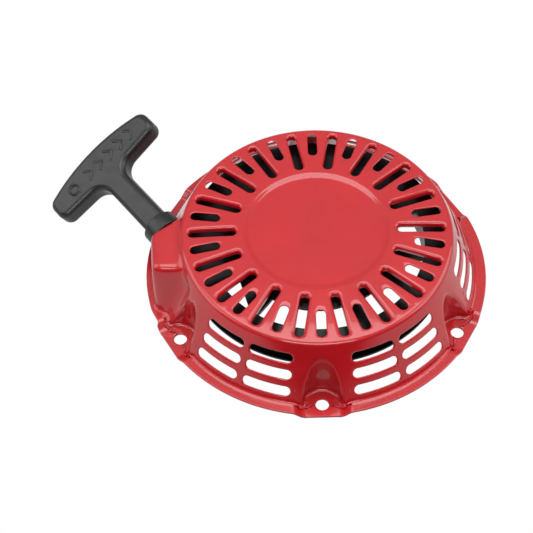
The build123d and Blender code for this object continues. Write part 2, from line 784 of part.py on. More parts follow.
# Grip: bar and stem in one outline, lying in a plane tilted about the rope's line
bar_direction = (
    pull_y * cos(radians(bar_tilt)),
    -pull_x * cos(radians(bar_tilt)),
    sin(radians(bar_tilt)),
)
bar_point = outlet_centre + pull_line * bar_distance
bar_middle = Vector(bar_point.X, bar_point.Y, rope_height)
bar_normal = Vector(*bar_direction).cross(pull_line)
grip_plane = Plane(origin=bar_middle, x_dir=bar_direction, z_dir=bar_normal)
stem_start = collar_gap + collar_length - bar_distance
with BuildPart() as grip:
    with BuildSketch(grip_plane) as grip_outline:
        with BuildLine():
            far = ThreePointArc(
                (-bar_half_length, bar_far_end), (0, bar_far_middle), (bar_half_length, bar_far_end)
            )
            near = Polyline(
                far @ 1,
                (bar_half_length, bar_near_end),
                (stem_radius, bar_near_middle),
                (stem_radius, stem_start),
                (-stem_radius, stem_start),
                (-stem_radius, bar_near_middle),
                (-bar_half_length, bar_near_end),
                far @ 0,
            )
        make_face()
        bar_ends = grip_outline.vertices().filter_by_position(
            Axis.X, bar_half_length - 1, bar_half_length + 1
        ) + grip_outline.vertices().filter_by_position(
            Axis.X, -bar_half_length - 1, -bar_half_length + 1
        )
        fillet(bar_ends, bar_corner_fillet)
        crotches = grip_outline.vertices().filter_by_position(
            Axis.Y, bar_near_middle - 0.1, bar_near_middle + 0.1
        )
        fillet(crotches, crotch_fillet)
    extrude(amount=bar_thickness / 2, both=True)
    rims = grip.edges().filter_by(
        lambda edge: abs(abs(grip_plane.to_local_coords(edge.center()).Z) - bar_thickness / 2) < 0.1
        and grip_plane.to_local_coords(edge.center()).Y > stem_start + 0.1
    )
    fillet(rims, bar_edge_fillet)
    # Spigot inside the collar, rope bore and the pocket for the knot
    with BuildSketch(pull_plane(collar_floor)):
        Circle(spigot_radius)
    extrude(amount=collar_gap + collar_length - collar_floor)
    with BuildSketch(pull_plane(0)):
        Circle(grip_bore_radius)
    extrude(amount=bar_distance + bar_far_middle, mode=Mode.SUBTRACT)
    pocket_floor = bar_distance + bar_far_middle - knot_pocket_depth
    with BuildSketch(pull_plane(pocket_floor)):
        Circle(knot_pocket_radius)
    extrude(amount=knot_pocket_depth + 1, mode=Mode.SUBTRACT)
    # Raised chevrons and a ring on the face that points up
    with BuildSketch(grip_plane.offset(bar_thickness / 2)):
        for i in range(chevron_count):
            with Locations(((i - 1) * chevron_pitch, chevron_rise)):
                with Locations(Location((0, chevron_half / 2), 45)):
                    Rectangle(chevron_stroke, chevron_half * sqrt(2) + chevron_stroke)
                with Locations(Location((0, -chevron_half / 2), -45)):
                    Rectangle(chevron_stroke, chevron_half * sqrt(2) + chevron_stroke)
        with Locations((ring_mark_place, ring_mark_rise)):
            Circle(ring_mark_radius)
            Circle(ring_mark_radius - chevron_stroke, mode=Mode.SUBTRACT)
    extrude(amount=relief_height)
grip.part.label = "grip"
export_step(grip.part, "parts/grip.step")

# Rubber collar on the grip's spigot, which meets the outlet when the rope is in
with BuildPart() as grip_collar:
    with BuildSketch(pull_plane(collar_gap)):
        Circle(collar_radius)
    extrude(amount=collar_length)
    collar_rims = grip_collar.edges()
    chamfer(collar_rims, collar_edge)
    with BuildSketch(pull_plane(collar_floor)):
        Circle(spigot_radius)
    extrude(amount=collar_length, mode=Mode.SUBTRACT)
    with BuildSketch(pull_plane(0)):
        Circle(grip_bore_radius)
    extrude(amount=collar_length, mode=Mode.SUBTRACT)
grip_collar.part.label = "grip_collar"
export_step(grip_collar.part, "parts/grip_collar.step")

# Rope through the grip, its washer and its knot
with BuildPart() as knot_washer:
    with BuildSketch(pull_plane(pocket_floor)):
        Circle(knot_washer_radius)
        Circle(rope_radius + close_gap, mode=Mode.SUBTRACT)
    extrude(amount=knot_washer_thickness)
knot_washer.part.label = "knot_washer"
export_step(knot_washer.part, "parts/knot_washer.step")

with BuildPart() as grip_knot:
    knot_distance = pocket_floor + knot_washer_thickness + knot_radius
    with Locations(pull_plane(knot_distance)):
        Sphere(knot_radius)
grip_knot.part.label = "grip_knot"
export_step(grip_knot.part, "parts/grip_knot.step")

with BuildPart() as rope_span:
    with BuildSketch(pull_plane(0)):
        Circle(rope_radius)
    extrude(amount=knot_distance)
    with Locations(pull_plane(knot_distance)):
        Sphere(knot_radius, mode=Mode.SUBTRACT)
rope_span.part.label = "rope_span"
export_step(rope_span.part, "parts/rope_span.step")
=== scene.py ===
import json
import math

import bmesh
import bpy
import numpy as np
from mathutils import Matrix, Vector


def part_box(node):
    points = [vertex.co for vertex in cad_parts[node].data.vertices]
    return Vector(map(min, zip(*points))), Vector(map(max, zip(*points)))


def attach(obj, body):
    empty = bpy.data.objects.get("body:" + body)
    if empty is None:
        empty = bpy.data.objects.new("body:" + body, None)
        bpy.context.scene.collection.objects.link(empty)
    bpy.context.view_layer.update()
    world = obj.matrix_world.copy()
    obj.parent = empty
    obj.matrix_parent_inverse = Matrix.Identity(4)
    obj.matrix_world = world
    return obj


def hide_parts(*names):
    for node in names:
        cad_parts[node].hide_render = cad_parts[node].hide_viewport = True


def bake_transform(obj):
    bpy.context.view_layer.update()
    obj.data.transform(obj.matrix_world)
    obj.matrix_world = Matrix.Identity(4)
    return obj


# Recoil starter: pressed red cover, black reel and rope inside, black T-grip on the pull rope.
# Shapes are worked out in millimetres in the frame of the CAD model and stored in metres.

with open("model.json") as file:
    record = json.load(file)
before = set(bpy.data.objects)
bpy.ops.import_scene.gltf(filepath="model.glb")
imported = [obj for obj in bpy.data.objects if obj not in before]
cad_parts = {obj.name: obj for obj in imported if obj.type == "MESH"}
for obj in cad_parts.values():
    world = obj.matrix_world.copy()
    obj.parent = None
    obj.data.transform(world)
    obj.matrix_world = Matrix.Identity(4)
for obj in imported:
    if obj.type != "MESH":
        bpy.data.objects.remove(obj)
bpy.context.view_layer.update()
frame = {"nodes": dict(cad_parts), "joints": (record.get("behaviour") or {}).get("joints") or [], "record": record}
nodes = frame["nodes"]
mm = 0.001


def mount(name):
    return next(m for m in frame["record"]["mounts"] if m["name"] == name)


def joint(name):
    return next(j for j in frame["joints"] if j["name"] == name)


pullAxis = np.array(joint("handle_pull")["axis"], float)
pullAxis /= np.linalg.norm(pullAxis)
sideAxis = np.array([-pullAxis[1], pullAxis[0], 0.0])  # away from the crank axis, level
ropeEnds = np.array(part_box("rope_span")) / mm
ropeHeight = ropeEnds[:, 2].mean()


# shapes into meshes
# Quads of a grid whose points run row by row; a closed one joins its last column to its first.
def gridFaces(rows, columns, closed=False):
    index = np.arange(rows * columns).reshape(rows, columns)
    right = np.roll(index, -1, axis=1)
    last = columns if closed else columns - 1
    a, b = index[:-1, :last], right[:-1, :last]
    c, d = right[1:, :last], index[1:, :last]
    return np.stack([a, b, c, d], axis=-1).reshape(-1, 4)


# One mesh object from patches of (points in mm, faces), with shared edges welded.
def makePiece(name, patches, weld=0.004):
    points, faces, start = [], [], 0
    for patchPoints, patchFaces in patches:
        flat = np.asarray(patchPoints, float).reshape(-1, 3)
        points.append(flat)
        faces += [[int(i) + start for i in face if i >= 0] for face in patchFaces]
        start += len(flat)
    allPoints = np.concatenate(points)
    keys = np.round(allPoints / weld).astype(np.int64)
    _, first, inverse = np.unique(keys, axis=0, return_index=True, return_inverse=True)
    inverse = inverse.reshape(-1)
    kept = []
    for face in faces:
        merged = []
        for i in face:
            j = int(inverse[i])
            if j not in merged:
                merged.append(j)
        if len(merged) > 2:
            kept.append(merged)
    mesh = bpy.data.meshes.new(name)
    mesh.from_pydata((allPoints[first] * mm).tolist(), [], kept)
    mesh.validate()
    mesh.update()
    piece = bpy.data.objects.new(name, mesh)
    bpy.context.scene.collection.objects.link(piece)
    mesh.shade_smooth()
    return piece


def addModifier(piece, kind, name, **settings):
    modifier = piece.modifiers.new(name, kind)
    for key, value in settings.items():
        setattr(modifier, key, value)
    return modifier


cameraSettings = {
    "target": (-27.25, -9.75, 20.0),
    "distance": 765.65,
    "elevation": 53.34,
    "roll": -1.38,
    "lens": 95.55,
}


def addCamera(settings):
    up = math.radians(settings["elevation"])
    roll = math.radians(settings["roll"])
    back = np.array([0.0, -math.cos(up), math.sin(up)])
    right = np.array([1.0, 0.0, 0.0])
    above = np.array([0.0, math.sin(up), math.cos(up)])
    cameraX = math.cos(roll) * right + math.sin(roll) * above
    cameraY = -math.sin(roll) * right + math.cos(roll) * above
    place = np.array(settings["target"]) + settings["distance"] * back
    data = bpy.data.cameras.new("camera")
    data.lens = settings["lens"]
    data.sensor_width = 36.0
    data.clip_start = 0.01
    camera = bpy.data.objects.new("camera", data)
    bpy.context.scene.collection.objects.link(camera)
    matrix = np.eye(4)
    matrix[:3, 0], matrix[:3, 1], matrix[:3, 2] = cameraX, cameraY, back
    matrix[:3, 3] = place * mm
    camera.matrix_world = Matrix(matrix.tolist())
    bpy.context.scene.camera = camera


addCamera(cameraSettings)
print("camera set")

# pressed steel cover
shellBox = np.array(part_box("housing_shell")) / mm
cover = {
    "sheet": 1.2,
    "top": shellBox[1][2],
    "discRadius": 36.0,
    "discRecess": 1.0,
    "discStep": 4.0,
    "discRings": (30, 35.6, 36.2, 36.8, 37.4, 38, 38.6, 39.2, 39.8),
    "crownDrop": 1.3,
    "shoulderRadius": 72.5,
    "shoulderFillet": 3.0,
    "footRadius": 90.2,
    "flangeTop": 4.2,
    "flangeRadius": shellBox[1][0],
    "footFillet": 1.7,
    "boltCircle": mount("tab_bolts")["dims"]["pcd_mm"] / 2,
    "boltHole": mount("tab_bolts")["dims"]["hole_r_mm"],
    "tabs": mount("tab_bolts")["dims"]["count"],
    "firstTab": -90.0,
    "tabEdge": -shellBox[0][1],
    "tabHalf": 9.0,
    "tabRamp": 6.5,
    "floorMiddle": 5.0,
    "floorPull": 0.35,
    "floorFine": (0, 0.64, 13),
    "floorCoarse": (0.72, 0.8, 0.9, 1.0),
    "pocketRadius": 9.5,
    "pocketFlare": 2.5,
    "flareHeight": 14.0,
    "pocketEdge": 2.6,
    "edgeWeight": 2.4,  # more columns go round the tight edge than its length would get
    "slots": 36,
    "shortSlot": (52.5, 68.6, 5.0),  # inner end, outer end, width
    "longSlot": (43.2, 68.7, 4.7),
    "lipRoll": 1.7,  # long slots are drawn down in a rolled lip
    "lipDepth": 3.4,
    "edgeRoll": 0.55,  # punched edges of the other slots
    "slotSteps": 12,
    "slotRings": (0.22, 0.6, 1.0),  # from a slot's edge to its cell's border
    "cellInner": 40.3,
    "cellOuter": 70.9,
    "sideRows": (28.5, 19.4, 10.2),
    "sideHeight": 5.3,
    "sideHalfSpan": 8.75,
    "rowEdges": (33.2, 24.0, 14.85),
    "zoneHalf": 10.0,  # degrees to each side of a tab
    "tabColumns": 48,
    "sideSteps": 24,
    "roundSteps": 432,
    "longHalf": (6.7, 1.7),  # half angle of a long slot's cell, and how much it narrows
}
shoulderHeight = cover["top"] - cover["crownDrop"]
wallLean = (cover["footRadius"] - cover["shoulderRadius"]) / shoulderHeight


def wallRadius(z):
    return cover["footRadius"] - wallLean * z


turn = math.pi / 2 - math.atan(wallLean)  # from the level top into the leaning wall
tangent = cover["shoulderFillet"] * math.tan(turn / 2)
filletStart = cover["shoulderRadius"] - tangent


# Height of the top: flat disc, smooth step up, ring falling by a power of r, then the shoulder's arc.
def topHeight(r):
    step = np.clip((r - cover["discRadius"]) / cover["discStep"], 0, 1)
    rise = cover["discRecess"] * step * step * (3 - 2 * step)
    ringStart = cover["discRadius"] + cover["discStep"]
    share = np.clip((r - ringStart) / (cover["shoulderRadius"] - ringStart), 0, 1)
    fall = cover["crownDrop"] * share**1.74
    over = np.clip(r - filletStart, 0, cover["shoulderFillet"])
    drop = cover["shoulderFillet"] - np.sqrt(cover["shoulderFillet"] ** 2 - over**2)
    return cover["top"] - cover["discRecess"] + rise - fall - drop


# Closed outline of a slot along x, as (points, outward directions): cap, side, cap, side.
def stadiumLoop(capSteps, sideSteps, half, radius):
    arcSteps = sideSteps // 4
    quarter = math.pi / 4
    cap = np.linspace(5 * quarter, 3 * quarter, capSteps + 1)[:-1]
    arcIn = np.linspace(3 * quarter, 2 * quarter, arcSteps + 1)
    arcOut = np.linspace(2 * quarter, quarter, arcSteps + 1)
    run = np.linspace(-half, half, sideSteps - 2 * arcSteps + 1)[1:-1]
    angles = np.concatenate([cap, arcIn, np.full(len(run), 2 * quarter), arcOut[:-1]])
    centres = np.concatenate([np.full(capSteps + arcSteps + 1, -half), run, np.full(arcSteps, half)])
    angles = np.concatenate([angles, angles - math.pi])
    centres = np.concatenate([centres, -centres])
    outward = np.stack([np.cos(angles), np.sin(angles)], axis=1)
    points = outward * radius
    points[:, 0] += centres
    return points, outward


# One slot of the ring: rings from its rolled edge out to the cell's border, on the top's height.
def topCell(centreAngle, slot, roll, depth, halfAngle):
    inner, outer, width = slot
    capSteps = sideSteps = cover["slotSteps"]
    middle, half = (inner + outer) / 2, (outer - inner - width) / 2
    loop, outward = stadiumLoop(capSteps, sideSteps, half, width / 2)
    loop[:, 0] += middle
    radii = np.linspace(cover["cellInner"], cover["cellOuter"], sideSteps + 1)
    low, high = radii[0], radii[-1]
    share = np.linspace(-1, 1, capSteps + 1)[:-1]
    borderR = np.concatenate(
        [np.full(capSteps, low), radii[:-1], np.full(capSteps, high), radii[::-1][:-1]]
    )
    side = halfAngle(radii)
    borderA = np.concatenate(
        [share * halfAngle(low), side[:-1], -share * halfAngle(high), -side[::-1][:-1]]
    )
    border = np.stack([borderR * np.cos(borderA), borderR * np.sin(borderA)], axis=1)
    rings, drops = [], []
    if depth > roll:
        for drop in (depth, (depth + roll) / 2):
            rings.append(loop)
            drops.append(drop)
    for angle in np.linspace(0, math.pi / 2, 5 if roll > 1 else 3):
        rings.append(loop + outward * roll * (1 - math.cos(angle)))
        drops.append(roll * (1 - math.sin(angle)))
    edge = rings[-1]
    for blend in cover["slotRings"]:
        rings.append(edge + (border - edge) * blend)
        drops.append(0.0)
    plan = np.stack(rings)
    r = np.hypot(plan[..., 0], plan[..., 1])
    z = topHeight(r) - np.array(drops)[:, None]
    c, s = math.cos(math.radians(centreAngle)), math.sin(math.radians(centreAngle))
    x = plan[..., 0] * c - plan[..., 1] * s
    y = plan[..., 0] * s + plan[..., 1] * c
    # loops run clockwise seen from above, so rings going outward face up when reversed
    points = np.stack([x, y, z], axis=-1)
    return points, gridFaces(len(rings), points.shape[1], closed=True)


# Half angle of a long slot's cell: wide near the middle, exactly 5 degrees at the rim.
def longHalf(r):
    share = (r - cover["cellInner"]) / (cover["cellOuter"] - cover["cellInner"])
    wide, narrowing = cover["longHalf"]
    return np.radians(wide - narrowing * share)


def shortHalf(r):
    return math.radians(360 / cover["slots"]) - longHalf(r)


# Angles of the border points round the ring's inner edge, cell by cell.
def ringAngles():
    angles = []
    steps = cover["slotSteps"]
    for i in range(cover["slots"]):
        half = shortHalf(cover["cellInner"]) if i % 2 == 0 else longHalf(cover["cellInner"])
        centre = math.radians(cover["firstTab"] + i * 360 / cover["slots"])
        angles.append(centre + half * np.linspace(-1, 1, steps + 1)[:-1])
    return np.concatenate(angles)


# Rows of points at the given radii and heights round the axis.
def revolveRows(radii, heights, angles, closed=True):
    r, z = np.asarray(radii)[:, None], np.asarray(heights)[:, None]
    x, y = r * np.cos(angles), r * np.sin(angles)
    points = np.stack([x, y, np.broadcast_to(z, x.shape)], axis=-1)
    return points, gridFaces(len(radii), len(angles), closed=closed)


def discPatches():
    angles = ringAngles()
    radii = np.array([*cover["discRings"], cover["cellInner"]])
    rows, faces = revolveRows(radii, topHeight(radii), angles)
    count = len(angles)
    middle = np.array([[0, 0, topHeight(0.0)]])
    inner, innerFaces = revolveRows([12.0, radii[0]], [middle[0, 2]] * 2, angles)
    fan = [[0, 1 + i, 1 + (i + 1) % count] for i in range(count)]
    fanPoints = np.concatenate([middle, inner[0]])
    return [(rows, faces[:, ::-1]), (inner, innerFaces[:, ::-1]), (fanPoints, fan)]


# Tab floor, then the ramp up to the flange, by the distance t from the tab's middle.
def floorHeight(t):
    share = np.clip((np.abs(t) - cover["tabHalf"]) / cover["tabRamp"], 0, 1)
    return cover["sheet"] + (cover["flangeTop"] - cover["sheet"]) * share * share * (3 - 2 * share)


# Plan outline of the wall at height z across a tab, a from -1 to 1: the wall's circle, a rounded
# edge about a centre that touches both, and the pocket's circle.  Returns points and outward directions.
def pocketOutline(a, z):
    size, edge = np.abs(a), cover["pocketEdge"]
    big = wallRadius(z)
    flare = cover["pocketFlare"] * np.clip(1 - z / cover["flareHeight"], 0, 1) ** 2
    centre, small = cover["boltCircle"] + flare, cover["pocketRadius"] + flare
    inner = big - edge
    cx = np.clip((inner**2 - (small + edge) ** 2 + centre**2) / (2 * centre), None, inner)
    cy = np.sqrt(np.maximum(inner**2 - cx**2, 0))
    start = np.arctan2(cy, cx)
    end = np.arctan2(-cy, centre - cx)
    first = np.where(cy > 1e-9, np.arctan2(cy, cx - centre), math.pi)
    zone = math.radians(cover["zoneHalf"])
    one = (zone - start) * big
    weighted = cover["edgeWeight"] * edge
    two = weighted * (start - end)
    three = small * (math.pi - first)
    way = (1 - size) * (one + two + three)
    onWall, onEdge = way <= one, way <= one + two
    wallAngle = zone - way / big
    edgeAngle = start - (way - one) / weighted
    pocketAngle = first + (way - one - two) / small
    x = np.where(
        onWall,
        big * np.cos(wallAngle),
        np.where(onEdge, cx + edge * np.cos(edgeAngle), centre + small * np.cos(pocketAngle)),
    )
    y = np.where(
        onWall,
        big * np.sin(wallAngle),
        np.where(onEdge, cy + edge * np.sin(edgeAngle), small * np.sin(pocketAngle)),
    )
    nx = np.where(
        onWall, np.cos(wallAngle), np.where(onEdge, np.cos(edgeAngle), -np.cos(pocketAngle))
    )
    ny = np.where(
        onWall, np.sin(wallAngle), np.where(onEdge, np.sin(edgeAngle), -np.sin(pocketAngle))
    )
    flip = np.where(a < 0, -1.0, 1.0)
    return x, y * flip, nx, ny * flip


wallTop = shoulderHeight - tangent * math.cos(math.atan(wallLean))
wallFoot = cover["flangeTop"] + cover["footFillet"]
cellSteps = 5


# Heights of the wall's rows, shared by every zone so that the zones' edges meet.
def rowHeights():
    edges = (*cover["rowEdges"], wallFoot)
    rows = [wallTop, (wallTop + edges[0]) / 2 + 0.1]
    for high, low in zip(edges[:-1], edges[1:]):
        rows += list(np.linspace(high, low, cellSteps + 1)[:-1])
    return np.array(rows + [wallFoot])


footSteps = 5
flangeRadii = np.array([90.6, 92.2, 93.3])


def footRing(angleCount=footSteps):
    return np.linspace(0, math.pi / 2, angleCount + 1)


def turned(points, degrees):
    c, s = math.cos(math.radians(degrees)), math.sin(math.radians(degrees))
    out = np.array(points, float)
    x, y = points[..., 0], points[..., 1]
    out[..., 0], out[..., 1] = x * c - y * s, x * s + y * c
    return out


# Wall, pocket, foot and holed floor across one tab, in the tab's own direction, then turned.
def tabPatches(angle):
    columns = cover["tabColumns"]
    a = np.linspace(-1, 1, columns + 1)
    heights = rowHeights()
    _, footY, _, _ = pocketOutline(a, np.full_like(a, 3.0))
    floor = floorHeight(footY)
    lowest = floor + cover["footFillet"]
    share = (heights[:, None] - wallFoot) / (wallTop - wallFoot)
    z = lowest + share * (wallTop - lowest)
    aGrid = np.broadcast_to(a, z.shape)
    x, y, nx, ny = pocketOutline(aGrid, z)
    wall = np.stack([x, y, z], axis=-1)
    rows = [wall]
    for bend in footRing()[1:]:
        out = cover["footFillet"] * (1 - math.cos(bend))
        down = cover["footFillet"] * (1 - math.sin(bend))
        ring = np.stack([x[-1] + nx[-1] * out, y[-1] + ny[-1] * out, floor + down], axis=-1)
        rows.append(ring[None])
    wall = np.concatenate(rows)
    # the finest rows join the coarser ring above with one row of triangles
    coarse = wall[0, ::2]
    joined = np.concatenate([coarse, wall[1]])
    half = columns // 2
    base = len(coarse)
    strip = []
    for i in range(half):
        strip.append([i, i + 1, base + 2 * i + 1])
        strip.append([i, base + 2 * i + 1, base + 2 * i])
        strip.append([i + 1, base + 2 * i + 2, base + 2 * i + 1])
    body = wall[1:]
    patches = [
        (joined, [face[::-1] for face in strip]),
        (body, gridFaces(body.shape[0], columns + 1)[:, ::-1]),
    ]
    # floor: rings from the border in to the bolt hole
    foot = wall[-1, :, :2]
    zone = math.radians(cover["zoneHalf"])
    sideRadii = flangeRadii
    rimAngles = np.linspace(zone, -zone, columns + 1)
    rimRadius = np.minimum(cover["flangeRadius"], cover["tabEdge"] / np.cos(rimAngles))
    rim = np.stack([rimRadius * np.cos(rimAngles), rimRadius * np.sin(rimAngles)], axis=1)
    right = np.stack([sideRadii * math.cos(zone), sideRadii * math.sin(zone)], axis=1)
    left = right[::-1] * np.array([1, -1])
    border = np.concatenate([foot, right, rim, left])
    # lines leave the border towards a point outside the hole, so that none crosses the pocket's edge
    middle = np.array([cover["boltCircle"] + cover["floorMiddle"], 0.0])
    direction = np.arctan2(border[:, 1], border[:, 0] - middle[0])
    hole = cover["boltHole"] * np.stack([np.cos(direction), np.sin(direction)], axis=1)
    hole[:, 0] += cover["boltCircle"]
    shares = np.concatenate([np.linspace(*cover["floorFine"]), cover["floorCoarse"]])[:, None, None]
    control = border + (middle - border) * cover["floorPull"]
    plan = (1 - shares) ** 2 * border + 2 * shares * (1 - shares) * control + shares**2 * hole
    zFloor = floorHeight(plan[..., 1])
    floorGrid = np.concatenate([plan, zFloor[..., None]], axis=-1)
    patches.append((floorGrid, gridFaces(len(shares), len(border), closed=True)[:, ::-1]))
    return [(turned(points, angle), faces) for points, faces in patches]


# One slot of the side wall, as rings on the leaning wall.
def wallCell(angle, low, high, middle):
    longSteps = cover["sideSteps"]
    big = wallRadius(middle)
    span = big * math.radians(cover["sideHalfSpan"])
    radius, roll = cover["sideHeight"] / 2, cover["edgeRoll"]
    loop, outward = stadiumLoop(cellSteps, longSteps, span - radius, radius)
    across = math.radians(cover["zoneHalf"])
    t = np.linspace(-1, 1, longSteps + 1) * across
    h = np.linspace(low, high, cellSteps + 1)
    borderT = np.concatenate(
        [np.full(cellSteps, -across), t[:-1], np.full(cellSteps, across), t[::-1][:-1]]
    )
    borderZ = np.concatenate(
        [h[:-1], np.full(longSteps, high), h[::-1][:-1], np.full(longSteps, low)]
    )
    rings, depths = [], []
    for bend in np.linspace(0, math.pi / 2, 3):
        ring = loop + outward * roll * (1 - math.cos(bend))
        rings.append(np.stack([ring[:, 0] / big, middle + ring[:, 1]], axis=1))
        depths.append(roll * (1 - math.sin(bend)))
    border = np.stack([borderT, borderZ], axis=1)
    edge = rings[-1]
    for blend in (0.4, 1.0):
        rings.append(edge + (border - edge) * blend)
        depths.append(0.0)
    grid = np.stack(rings)
    depth = np.array(depths)[:, None]
    r = wallRadius(grid[..., 1]) - depth
    a = grid[..., 0] + math.radians(angle)
    points = np.stack([r * np.cos(a), r * np.sin(a), grid[..., 1]], axis=-1)
    return points, gridFaces(len(rings), points.shape[1], closed=True)


# Foot fillet and flange between the tabs.
def footPatch(angles, startRadius, degrees):
    radii, heights = [], []
    for bend in footRing():
        radii.append(startRadius + cover["footFillet"] * (1 - math.cos(bend)))
        heights.append(cover["flangeTop"] + cover["footFillet"] * (1 - math.sin(bend)))
    radii += list(flangeRadii) + [cover["flangeRadius"]]
    heights += [cover["flangeTop"]] * (len(flangeRadii) + 1)
    points, faces = revolveRows(radii, heights, angles, closed=False)
    return turned(points, degrees), faces[:, ::-1]


# Wall with three rows of two slots between two tabs, and its stretch of flange.
def sectorPatches(angle):
    patches = []
    zone = cover["zoneHalf"]
    edges = (*cover["rowEdges"], wallFoot)
    for side in (-zone, zone):
        for high, low, middle in zip(edges[:-1], edges[1:], cover["sideRows"]):
            patches.append(wallCell(angle + side, low, high, middle))
    angles = np.radians(np.linspace(-2 * zone, 2 * zone, 49))
    heights = rowHeights()[:3]
    points, faces = revolveRows(wallRadius(heights), heights, angles, closed=False)
    patches.append((turned(points, angle), faces[:, ::-1]))
    patches.append(footPatch(angles, wallRadius(wallFoot), angle))
    return patches


# rope outlet pressed out of the wall
outlet = {
    "angle": 180.0,
    "besideTab": 210.0,
    "face": 56.7,
    "offset": 58.0,
    "top": 34.5,
    "outerHalf": 11.4,
    "sideEnd": (-88.2, -20.0),
    "back": (-60.0, -21.5),
    "endDraft": 0.2,
    "soften": 4,
    "hollowAngle": 201.5,  # the wall is drawn in beside the outlet, into the pocket of the tab
    "hollowSpread": 6.5,
    "hollowHeight": (3.0, 33.0),
    "hollowDepth": 4.0,
    "hollowReach": (14.0, 8.0),  # how far inside the wall it still acts, and over what it fades in
    "profileSteps": 400,
    "dish": 11.5,
}


# Wall over the rope outlet: at each angle the profile climbs the leaning wall or the outlet's face,
# whichever stands further out, crosses the outlet's top and climbs on; then it is softened.
def outletPatches(angle):
    columns = cover["tabColumns"]
    spread = np.radians(np.linspace(-20, 20, columns + 1)) + math.radians(angle)
    direction = np.stack([np.cos(spread), np.sin(spread)], axis=1)
    corner = pullAxis[:2] * outlet["face"] + sideAxis[:2] * (outlet["offset"] + outlet["outerHalf"])
    sideEnd, back = np.array(outlet["sideEnd"]), np.array(outlet["back"])

    def reachOf(normal, point):
        along = direction @ normal
        return np.where(along > 1e-3, (point @ normal) / np.maximum(along, 1e-3), 1e3)

    def normalOf(start, end):
        way = (end - start) / np.linalg.norm(end - start)
        normal = np.array([way[1], -way[0]])
        return normal if normal @ start > 0 else -normal

    faceReach = reachOf(pullAxis[:2], corner)
    sideReach = reachOf(normalOf(corner, sideEnd), corner)
    endNormal = normalOf(sideEnd, back)
    endReach = reachOf(endNormal, sideEnd)
    endGrowth = 1 / np.maximum(direction @ endNormal, 1e-3)  # as the end leans outward on its way down
    levels = np.linspace(wallTop, wallFoot, outlet["profileSteps"])
    ledge = outlet["top"]
    shares = (wallTop - rowHeights()) / (wallTop - wallFoot)
    rows = np.zeros((len(shares), columns + 1, 2))
    for i in range(columns + 1):
        r = wallRadius(levels)
        lean = outlet["endDraft"] * (ledge - levels)
        reach = np.minimum(min(faceReach[i], sideReach[i]), endReach[i] + lean * endGrowth[i])
        r = np.where(levels < ledge, np.maximum(r, reach), r)
        high = outlet["dish"] ** 2 - (levels - ropeHeight) ** 2
        near = (outlet["offset"] - np.sqrt(np.maximum(high, 0))) / max(direction[i] @ sideAxis[:2], 1e-3)
        entry = np.maximum(near, faceReach[i])
        r = np.where(high > 0, np.minimum(r, np.maximum(entry, 60)), r)
        path = np.concatenate([[0], np.cumsum(np.hypot(np.diff(r), np.diff(levels)))])
        rows[:, i, 0] = np.interp(shares * path[-1], path, r)
        rows[:, i, 1] = np.interp(shares * path[-1], path, levels)
    for _ in range(outlet["soften"]):  # with the zone's edges held
        soft = rows.copy()
        soft[1:-1, 1:-1] = (
            rows[1:-1, 1:-1] * 0.5
            + (rows[:-2, 1:-1] + rows[2:, 1:-1] + rows[1:-1, :-2] + rows[1:-1, 2:]) * 0.125
        )
        soft[-1, 1:-1, 0] = rows[-1, 1:-1, 0] * 0.5 + (rows[-1, :-2, 0] + rows[-1, 2:, 0]) * 0.25
        rows = soft
    r, z = rows[..., 0], rows[..., 1]
    points = np.stack([r * direction[:, 0], r * direction[:, 1], z], axis=-1)
    last = r[-1]
    footRows = []
    for bend in footRing():
        rr = last + cover["footFillet"] * (1 - math.cos(bend))
        zz = cover["flangeTop"] + cover["footFillet"] * (1 - math.sin(bend))
        footRows.append(np.stack([rr * direction[:, 0], rr * direction[:, 1], np.full_like(rr, zz)], -1))
    for radius in (*flangeRadii, cover["flangeRadius"]):
        rr = np.maximum(radius, last + cover["footFillet"] + 0.2 * (radius - 90.0))
        rr = np.minimum(rr, cover["flangeRadius"])
        z0 = np.full_like(rr, cover["flangeTop"])
        footRows.append(np.stack([rr * direction[:, 0], rr * direction[:, 1], z0], -1))
    foot = np.stack(footRows)
    return [
        (points, gridFaces(len(shares), columns + 1)[:, ::-1]),
        (foot, gridFaces(len(footRows), columns + 1)[:, ::-1]),
    ]


# Points near the hollow beside the outlet, moved towards the axis by a product of two soft bells.
def drawnIn(points):
    x, y, z = points[..., 0], points[..., 1], points[..., 2]
    angle = np.degrees(np.arctan2(y, x)) % 360
    low, high = outlet["hollowHeight"]
    across = np.clip(np.abs(angle - outlet["hollowAngle"]) / outlet["hollowSpread"], 0, 1)
    up = np.clip(np.abs(2 * (z - low) / (high - low) - 1), 0, 1)
    reach, fade = outlet["hollowReach"]
    wall = np.clip((np.hypot(x, y) - wallRadius(z) + reach) / fade, 0, 1)
    depth = outlet["hollowDepth"] * (1 - across**2) ** 2 * (1 - up**4) * wall
    scale = 1 - depth / np.hypot(x, y)
    return np.stack([x * scale, y * scale, z], axis=-1)


